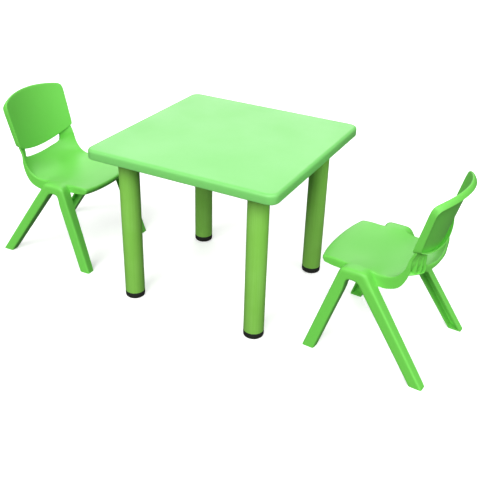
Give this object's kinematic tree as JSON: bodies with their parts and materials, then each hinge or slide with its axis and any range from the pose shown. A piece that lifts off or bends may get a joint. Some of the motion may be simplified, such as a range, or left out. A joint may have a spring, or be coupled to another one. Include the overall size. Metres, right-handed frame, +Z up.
{
  "type": "kids table and chairs",
  "caption": "Low square plastic play table on round sleeved legs with black feet, and two one-piece moulded chairs with a handhold under the curved backrest.",
  "frame": {"origin": "on the floor, at the middle of the set's footprint", "axes": "+Z up; +X along the row of left chair, table and right chair; the near side faces -Y"},
  "size_m": [1.5374, 0.6, 0.534],
  "materials": {
    "table_top_plastic": "satin moulded polypropylene, light green",
    "chair_plastic": "satin moulded polypropylene, fresh green",
    "leg_plastic": "satin extruded plastic sleeve, yellow green",
    "socket_plastic": "satin moulded plastic, green",
    "foot_rubber": "matte black",
    "tube_steel": "drawn zinc-coated tube",
    "screw_steel": "zinc plated"
  },
  "bodies": {
    "table": {"table_top": "table_top_plastic", "socket_screws": "screw_steel", "front_leg_sleeve": "leg_plastic", "left_leg_sleeve": "leg_plastic", "right_leg_sleeve": "leg_plastic", "back_leg_sleeve": "leg_plastic", "front_leg_core_tube": "tube_steel", "left_leg_core_tube": "tube_steel", "right_leg_core_tube": "tube_steel", "back_leg_core_tube": "tube_steel", "front_leg_socket": "socket_plastic", "left_leg_socket": "socket_plastic", "right_leg_socket": "socket_plastic", "back_leg_socket": "socket_plastic", "front_leg_foot_cap": "foot_rubber", "left_leg_foot_cap": "foot_rubber", "right_leg_foot_cap": "foot_rubber", "back_leg_foot_cap": "foot_rubber"},
    "left_chair": {"left_chair": "chair_plastic"},
    "right_chair": {"right_chair": "chair_plastic"}
  },
  "joints": [
    {"name": "left_chair_pull", "type": "slide", "parent": "table", "child": "left_chair", "axis": [-0.9995, -0.0305, 0], "range_m": [-0.1, 0.3]},
    {"name": "right_chair_pull", "type": "slide", "parent": "table", "child": "right_chair", "axis": [0.9966, -0.0819, 0], "range_m": [-0.1, 0.3]}
  ]
}
